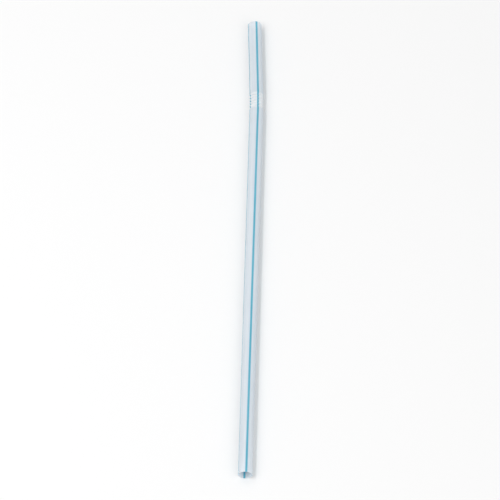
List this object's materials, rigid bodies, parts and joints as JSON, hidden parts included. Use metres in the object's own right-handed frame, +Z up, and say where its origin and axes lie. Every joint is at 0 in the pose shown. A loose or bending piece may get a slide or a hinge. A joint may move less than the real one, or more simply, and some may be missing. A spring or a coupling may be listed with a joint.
{
  "type": "flexible drinking straw",
  "caption": "Slim open plastic tube with coloured lengthwise stripes and a short bellows near its mouth that lets the mouth arm flex sideways.",
  "frame": {"origin": "middle of the straw's box on the surface that it lies on", "axes": "+Y along the stem from the foot to the mouth, +Z up from the surface, the mouth arm flexed towards -X"},
  "size_m": [0.0072, 0.21, 0.0055],
  "materials": {
    "striped_film": "thin milky plastic film, satin gloss, with four blue stripes drawn along it"
  },
  "bodies": {
    "root": {"straw": "striped_film"}
  },
  "joints": []
}
